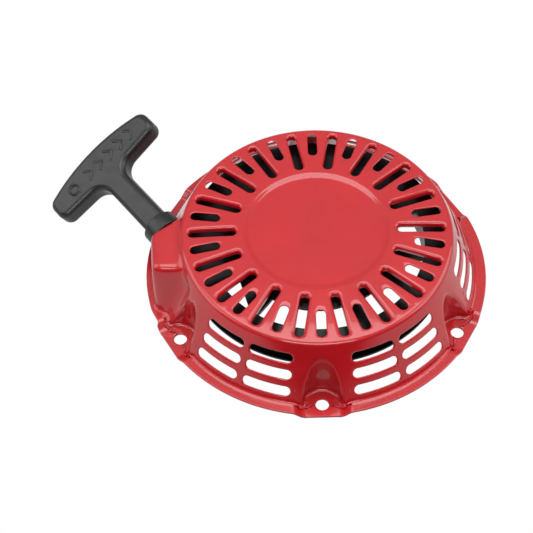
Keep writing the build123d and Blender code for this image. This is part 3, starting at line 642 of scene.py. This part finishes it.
def makeCover():
    patches = discPatches()
    for i in range(cover["slots"]):
        angle = cover["firstTab"] + i * 360 / cover["slots"]
        if i % 2:
            patches.append(topCell(angle, cover["longSlot"], cover["lipRoll"], cover["lipDepth"], longHalf))
        else:
            patches.append(topCell(angle, cover["shortSlot"], cover["edgeRoll"], 0, shortHalf))
    # shoulder: the arc from the ring's edge into the wall
    angles = np.radians(np.arange(cover["roundSteps"]) * 360 / cover["roundSteps"] + cover["firstTab"])
    start = math.asin((cover["cellOuter"] - filletStart) / cover["shoulderFillet"])
    bends = np.linspace(start, turn, 7)
    arcR = filletStart + cover["shoulderFillet"] * np.sin(bends)
    edgeHeight = topHeight(cover["cellOuter"])
    arcTop = edgeHeight + cover["shoulderFillet"] * (1 - math.cos(start))
    arcZ = arcTop - cover["shoulderFillet"] * (1 - np.cos(bends))
    arcR += (wallRadius(wallTop) - arcR[-1]) * (bends - start) / (turn - start)
    arcZ += (wallTop - arcZ[-1]) * (bends - start) / (turn - start)
    points, faces = revolveRows(arcR, arcZ, angles)
    patches.append((points, faces[:, ::-1]))
    step = 360 / cover["tabs"]
    for i in range(cover["tabs"]):
        tabAngle = cover["firstTab"] + i * step
        beside = tabAngle % 360 == outlet["besideTab"]
        patches += [(drawnIn(p) if beside else p, f) for p, f in tabPatches(tabAngle)]
        middle = tabAngle + step / 2
        if middle % 360 == outlet["angle"]:
            patches += [(drawnIn(p), f) for p, f in outletPatches(middle)]
        else:
            patches += sectorPatches(middle)
    return makePiece("pressedCover", patches)


pressedCover = makeCover()
print("cover pressed, points", len(pressedCover.data.vertices), "faces", len(pressedCover.data.polygons))
addModifier(pressedCover, "SOLIDIFY", "sheet", thickness=cover["sheet"] * mm, offset=-1.0)
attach(pressedCover, "cover")
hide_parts("housing_shell")


# materials
# sRGB hex to linear colour.
def linear(hexColour):
    values = [int(hexColour[i : i + 2], 16) / 255 for i in (1, 3, 5)]
    return [v / 12.92 if v <= 0.04045 else ((v + 0.055) / 1.055) ** 2.4 for v in values] + [1.0]


# Adds a node; settings name its properties or, with spaces as underscores, its input values.
def addNode(tree, kind, links=(), **settings):
    node = tree.nodes.new(kind)
    for key, value in settings.items():
        socket = key.replace("_", " ")
        if socket in node.inputs:
            node.inputs[socket].default_value = value
        else:
            setattr(node, key, value)
    for source, target in links:
        tree.links.new(source, node.inputs[target])
    return node


def newMaterial(name, **sockets):
    material = bpy.data.materials.new(name)
    material.use_nodes = True
    shader = material.node_tree.nodes["Principled BSDF"]
    for key, value in sockets.items():
        shader.inputs[key.replace("_", " ")].default_value = value
    return material, material.node_tree, shader


def objectPlace(tree):
    return addNode(tree, "ShaderNodeTexCoord").outputs["Object"]


# Noise whose largest lumps are sizeMm across.
def noise(tree, place, sizeMm, detail=2.0, roughness=0.5):
    scale = 1000.0 / sizeMm
    return addNode(
        tree, "ShaderNodeTexNoise", [(place, "Vector")], Scale=scale, Detail=detail, Roughness=roughness
    ).outputs["Fac"]


# Colour ramp from (position, hex) stops.
def ramp(tree, source, stops):
    node = addNode(tree, "ShaderNodeValToRGB", [(source, "Fac")])
    elements = node.color_ramp.elements
    for i, (position, colour) in enumerate(stops):
        element = elements[i] if i < 2 else elements.new(position)
        element.position, element.color = position, linear(colour)
    return node.outputs["Color"]


# Value range mapped to another.
def spread(tree, source, low, high, start=0.3, end=0.7):
    names = {"From_Min": start, "From_Max": end, "To_Min": low, "To_Max": high}
    return addNode(tree, "ShaderNodeMapRange", [(source, "Value")], **names).outputs["Result"]


def bump(tree, shader, height, depthMm, strength=1.0):
    node = addNode(
        tree, "ShaderNodeBump", [(height, "Height")], Distance=depthMm * mm, Strength=strength
    )
    tree.links.new(node.outputs["Normal"], shader.inputs["Normal"])
    return node.outputs["Normal"]


# Baked glossy powder coat on pressed steel: deep red, hard gloss, faint orange peel.
def powderCoat():
    material, tree, shader = newMaterial(
        "glossy red powder coat", Coat_Weight=1.0, Coat_Roughness=0.07, Coat_IOR=1.5, Specular_IOR_Level=0.25
    )
    place = objectPlace(tree)
    tone = ramp(tree, noise(tree, place, 26.0, 3.0), [(0.25, "#a50b14"), (0.75, "#b20f19")])
    tree.links.new(tone, shader.inputs["Base Color"])
    rough = spread(tree, noise(tree, place, 9.0, 4.0), 0.32, 0.42)
    tree.links.new(rough, shader.inputs["Roughness"])
    peel = addNode(
        tree, "ShaderNodeBump", [(noise(tree, place, 2.6, 1.0), "Height")], Distance=0.012 * mm
    )
    tree.links.new(peel.outputs["Normal"], shader.inputs["Normal"])
    tree.links.new(peel.outputs["Normal"], shader.inputs["Coat Normal"])
    return material


# Injection-moulded plastic with a fine spark-eroded grain and slightly uneven sheen.
def mouldedNylon(name, dark, light, roughLow, roughHigh, grainMm=0.5, depthMm=0.01, shine=0.5):
    material, tree, shader = newMaterial(name, IOR=1.5, Specular_IOR_Level=shine)
    place = objectPlace(tree)
    tone = ramp(tree, noise(tree, place, 14.0, 3.0), [(0.3, dark), (0.7, light)])
    tree.links.new(tone, shader.inputs["Base Color"])
    rough = spread(tree, noise(tree, place, 5.0, 3.0), roughLow, roughHigh)
    tree.links.new(rough, shader.inputs["Roughness"])
    bump(tree, shader, noise(tree, place, grainMm, 2.0), depthMm)
    return material


# Zinc-plated or oiled spring steel: metal with faint drawing marks and cloudy tarnish.
def platedSteel(name, low, high, roughLow, roughHigh):
    material, tree, shader = newMaterial(name, Metallic=1.0)
    place = objectPlace(tree)
    tone = ramp(tree, noise(tree, place, 4.0, 4.0), [(0.3, low), (0.7, high)])
    tree.links.new(tone, shader.inputs["Base Color"])
    rough = spread(tree, noise(tree, place, 1.2, 3.0), roughLow, roughHigh)
    tree.links.new(rough, shader.inputs["Roughness"])
    bump(tree, shader, noise(tree, place, 0.4, 2.0), 0.004)
    return material


# Braided polyester cord: matt black yarns with a soft sheen and a few grey flecks.
def ropeFibre():
    material, tree, shader = newMaterial(
        "braided black polyester cord", Roughness=0.62, Sheen_Weight=0.35, Sheen_Roughness=0.5
    )
    place = objectPlace(tree)
    tone = ramp(tree, noise(tree, place, 1.6, 4.0, 0.65), [(0.35, "#121214"), (0.72, "#3a3a3d")])
    tree.links.new(tone, shader.inputs["Base Color"])
    bump(tree, shader, noise(tree, place, 0.35, 2.0), 0.05)
    return material


redPaint = powderCoat()
blackNylon = mouldedNylon("black moulded nylon", "#08080a", "#101012", 0.3, 0.42, 0.8, 0.01, 0.25)
gripPlastic = mouldedNylon("black moulded grip plastic", "#161618", "#1c1c1f", 0.30, 0.40, 0.35, 0.012)
collarRubber = mouldedNylon("black moulded rubber", "#0c0c0d", "#131314", 0.30, 0.42, 0.7, 0.012)
naturalNylon = mouldedNylon("natural moulded nylon", "#cfc8b4", "#ded8c6", 0.35, 0.5, 0.6, 0.008)
zincSteel = platedSteel("zinc-plated steel", "#a9a79f", "#c6c4bd", 0.22, 0.38)
braidedRope = ropeFibre()
springSteel = platedSteel("oiled spring steel", "#3b3d42", "#5a5c60", 0.24, 0.36)

slotMaterials = {
    "cover_paint": redPaint,
    "black_nylon": blackNylon,
    "grip_plastic": gripPlastic,
    "rubber": collarRubber,
    "zinc_steel": zincSteel,
    "spring_steel": springSteel,
    "pawl_plastic": naturalNylon,
    "rope": braidedRope,
}
pressedCover.data.materials.append(redPaint)
for part in frame["record"]["subparts"]:
    node = nodes[part["node"]]
    node.data.materials.clear()
    node.data.materials.append(slotMaterials[part["material_slot"]])

print("materials done")

# grip, collar and reel, as cleanly shaded copies of their nodes
moulded = {
    "grip": ("tGrip", "handle", 30),
    "grip_collar": ("gripCollar", "handle", 30),
    "reel": ("ropeReel", "reel", 30),
}


# A node's mesh with its corners merged, smooth up to an angle, and its broad faces kept flat.
def smoothCopy(nodeName, name, body, sharpAngle):
    mesh = nodes[nodeName].data.copy()
    mesh.name = name
    form = bmesh.new()
    form.from_mesh(mesh)
    bmesh.ops.remove_doubles(form, verts=form.verts, dist=0.01 * mm)
    form.to_mesh(mesh)
    form.free()
    mesh.shade_smooth()
    mesh.set_sharp_from_angle(angle=math.radians(sharpAngle))
    piece = bpy.data.objects.new(name, mesh)
    bpy.context.scene.collection.objects.link(piece)
    addModifier(piece, "WEIGHTED_NORMAL", "flat faces", keep_sharp=True, weight=80)
    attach(piece, body)
    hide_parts(nodeName)


for nodeName, (pieceName, body, sharpAngle) in moulded.items():
    smoothCopy(nodeName, pieceName, body, sharpAngle)
print("grip, collar and reel done")

# braided starter rope
rope = {
    "radius": 2.0,
    "cells": 8,  # plaits that cross round the rope
    "cellSteps": 3,
    "cellLength": 2.2,
    "step": 0.7,
    "relief": 0.22,
    "turns": 3,
    "layerSpread": 2.1,
    "knotAngle": 200.0,
    "shift": 40.0,  # degrees over which a turn moves to the next lane
    "leadBend": 4.3,  # from the outlet's face back to the bend
    "leadSoftness": 0.15,
    "leadSteps": 70,
}


# Braided tube: round each centre the radius rises over the plait that is on top, a half wave across
# its width, and the plaits of the two hands take turns on top like the fields of a chessboard.
def braid(centres, across, above, distance):
    sides = rope["cells"] * rope["cellSteps"]
    angle = np.arange(sides) * 2 * math.pi / sides
    around = angle / (2 * math.pi) * rope["cells"]
    along = np.asarray(distance)[:, None] / rope["cellLength"]
    left, right = around + along, around - along
    onTop = (np.floor(left) + np.floor(right)) % 2 == 0
    wave = np.abs(np.sin(math.pi * np.where(onTop, left, right))) ** 0.7
    r = rope["radius"] - rope["relief"] * (1 - wave)
    offset = across[:, None] * np.cos(angle)[:, None] + above[:, None] * np.sin(angle)[:, None]
    return np.asarray(centres)[:, None] + offset * r[..., None]


# Faces of a tube from its rings, with its two ends closed by fans.
def tubePatches(points):
    count, sides = points.shape[:2]
    body = gridFaces(count, sides, closed=True)
    patches = [(points, body)]
    for ring, order in ((points[0], 1), (points[-1], -1)):
        hub = ring.mean(axis=0)
        fan = [[0, 1 + (i + 1) % sides, 1 + i][::order] for i in range(sides)]
        patches.append((np.concatenate([hub[None], ring]), fan))
    return patches


# Two directions across a path: level, and square to both it and the path.
def frameAlong(centres):
    way = np.gradient(centres, axis=0)
    way /= np.linalg.norm(way, axis=1)[:, None]
    across = np.cross(way, [0.0, 0.0, 1.0])
    across /= np.linalg.norm(across, axis=1)[:, None]
    return across, np.cross(across, way)


def smoothShare(value):
    value = np.clip(value, 0, 1)
    return value * value * (3 - 2 * value)


def makeRope(name, centres, replaced, body):
    steps = np.linalg.norm(np.diff(centres, axis=0), axis=1)
    distance = np.concatenate([[0], np.cumsum(steps)])
    across, above = frameAlong(centres)
    points = braid(centres, across, above, distance)
    piece = makePiece(name, tubePatches(points), weld=0.0005)
    piece.data.materials.append(braidedRope)
    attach(piece, body)
    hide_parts(replaced)
    print(name, "length, mm", round(distance[-1]))


windingBox = np.array(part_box("rope_winding")) / mm
laneHeight = windingBox[:, 2].mean()
outerLane = windingBox[1][0] - rope["radius"]
innerLane = outerLane - math.sqrt(4 * rope["radius"] ** 2 - rope["layerSpread"] ** 2)
outletPoint = pullAxis * outlet["face"] + sideAxis * outlet["offset"] + [0, 0, laneHeight]
bendPoint = outletPoint - pullAxis * rope["leadBend"]
leaveAngle = math.atan2(bendPoint[1], bendPoint[0]) + math.acos(
    outerLane / math.hypot(bendPoint[0], bendPoint[1])
)


# Three turns in the reel's groove: two side by side, then one in the hollow between them; the radius
# and the height are soft steps of the angle.
def makeWinding():
    start = math.radians(rope["knotAngle"])
    whole = 2 * math.pi * rope["turns"] - (leaveAngle % (2 * math.pi) - start)
    sweep = np.arange(0, whole, rope["step"] / outerLane)
    shift = math.radians(rope["shift"])
    second = smoothShare((sweep - 2 * math.pi + shift / 2) / shift)
    third = smoothShare((sweep - 4 * math.pi + shift / 2) / shift)
    z = laneHeight + rope["layerSpread"] * (-1 + 2 * second - third)
    r = innerLane + (outerLane - innerLane) * third
    angle = start - sweep
    centres = np.stack([r * np.cos(angle), r * np.sin(angle), z], axis=1)
    makeRope("ropeWinding", centres, "rope_winding", "reel")


# From the winding straight to the guide, with one soft bend: a curve drawn by three points.
def makeLead():
    leave = np.array([outerLane * math.cos(leaveAngle), outerLane * math.sin(leaveAngle), laneHeight])
    share = np.linspace(0, 1, rope["leadSteps"])[:, None]
    near = bendPoint + (leave - bendPoint) * rope["leadSoftness"]
    straight = leave + (near - leave) * share
    bend = (1 - share) ** 2 * near + 2 * share * (1 - share) * bendPoint + share**2 * outletPoint
    centres = np.concatenate([straight[:-1], bend[::6]])
    makeRope("ropeLead", centres, "rope_lead", "cover")


# Rope from the outlet to the grip's knot.  It is braided at the length it has when pulled out, and
# each ring is put back to where the pull starts by solving s + pull * softStep(s) for s.
def makeSpan():
    pull = joint("handle_pull")["range_m"][1] / mm
    ends = (ropeEnds - outletPoint) @ pullAxis
    length = np.abs(ends).max()
    s = np.linspace(0, length, 4001)
    stretched = s + pull * smoothShare((s - spanBlend[0]) / (spanBlend[1] - spanBlend[0]))
    target = np.arange(0, stretched[-1], rope["step"])
    rest = np.interp(target, stretched, s)
    centres = outletPoint + pullAxis * rest[:, None]
    count = len(rest)
    across = np.repeat(sideAxis[None], count, axis=0)
    above = np.repeat(np.array([[0.0, 0.0, 1.0]]), count, axis=0)
    points = braid(centres, across, above, target)
    piece = makePiece("pullRope", tubePatches(points), weld=0.0001)
    piece.data.materials.append(braidedRope)
    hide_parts("rope_span")
    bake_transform(piece)
    print("pullRope length when pulled, mm", round(target[-1]))


spanBlend = (0.5, 9.0)  # along the pull, between the outlet's face and the collar's end
makeWinding()
makeLead()
makeSpan()

# floor and lights
stage = {
    "floorSize": 0.9,
    "floorGlow": (0.02, 0.8),  # towards the front, where the walls reflect darkness, and behind
    "floorRise": (-0.15, -0.01),
    "floorSides": 1.2,
    "lights": {
        "overhead": ((0.0, 0.12, 1.15), (0.95, 0.8), 8.0),
        "frontSoftbox": ((0.0, -0.9, 0.8), (0.9, 0.35), 5.6),
        "leftSoftbox": ((-0.95, 0.1, 0.65), (0.9, 0.9), 5.0),
        "rightSoftbox": ((0.95, 0.1, 0.65), (0.9, 0.9), 5.5),
    },
}


def addFloor():
    angles = np.linspace(0, 2 * math.pi, 65)[:-1]
    rim = np.stack([np.cos(angles), np.sin(angles), np.zeros(64)], axis=1) * stage["floorSize"]
    mesh = bpy.data.meshes.new("floor")
    mesh.from_pydata((rim + np.array([0, 0.08, -0.0004])).tolist(), [], [list(range(64))])
    floor = bpy.data.objects.new("floor", mesh)
    bpy.context.scene.collection.objects.link(floor)
    material, tree, _ = newMaterial("pale floor")
    seen = addNode(tree, "ShaderNodeLightPath").outputs["Is Camera Ray"]
    white = addNode(tree, "ShaderNodeEmission", Strength=1.0)
    split = addNode(tree, "ShaderNodeSeparateXYZ", [(objectPlace(tree), 0)])
    aside = addNode(tree, "ShaderNodeMath", [(split.outputs["X"], 0)], operation="ABSOLUTE")
    place = addNode(
        tree,
        "ShaderNodeMath",
        [(aside.outputs[0], 0), (split.outputs["Y"], 2)],
        operation="MULTIPLY_ADD",
    )
    place.inputs[1].default_value = stage["floorSides"]
    glow = spread(tree, place.outputs[0], *stage["floorGlow"], *stage["floorRise"])
    lit = addNode(tree, "ShaderNodeEmission", [(glow, "Strength")])
    mixed = addNode(
        tree, "ShaderNodeMixShader", [(seen, 0), (lit.outputs[0], 1), (white.outputs[0], 2)]
    )
    tree.links.new(mixed.outputs[0], tree.nodes["Material Output"].inputs["Surface"])
    mesh.materials.append(material)


def addLight(name, place, size, power, towards=(0, 0, 0)):
    data = bpy.data.lights.new(name, "AREA")
    data.shape = "RECTANGLE"
    data.energy, data.size, data.size_y = power, size[0], size[1]
    light = bpy.data.objects.new(name, data)
    bpy.context.scene.collection.objects.link(light)
    light.location = place
    light.rotation_euler = (Vector(towards) - Vector(place)).to_track_quat("-Z", "Y").to_euler()


# White surroundings for the eye; what lights the object is bright above and behind, dark in front.
def addWorld():
    world = bpy.data.worlds.new("studio")
    world.use_nodes = True
    tree = world.node_tree
    tree.nodes.clear()
    place = addNode(tree, "ShaderNodeTexCoord").outputs["Generated"]
    facing = addNode(tree, "ShaderNodeVectorMath", [(place, 0)], operation="DOT_PRODUCT")
    facing.inputs[1].default_value = (0.0, 0.35, 0.937)
    glow = spread(tree, facing.outputs["Value"], 0.02, 0.62, -0.1, 0.9)
    room = addNode(tree, "ShaderNodeBackground", [(glow, "Strength")])
    white = addNode(tree, "ShaderNodeBackground", Strength=1.0)
    for node in (room, white):
        node.inputs["Color"].default_value = (1, 1, 1, 1)
    seen = addNode(tree, "ShaderNodeLightPath").outputs["Is Camera Ray"]
    mixed = addNode(
        tree,
        "ShaderNodeMixShader",
        [(seen, 0), (room.outputs[0], 1), (white.outputs[0], 2)],
    )
    addNode(tree, "ShaderNodeOutputWorld", [(mixed.outputs[0], "Surface")])
    bpy.context.scene.world = world


addFloor()
for lightName, (place, size, power) in stage["lights"].items():
    addLight(lightName, place, size, power)
addWorld()
print("floor and lights done")
bpy.context.scene.view_settings.view_transform = "Standard"
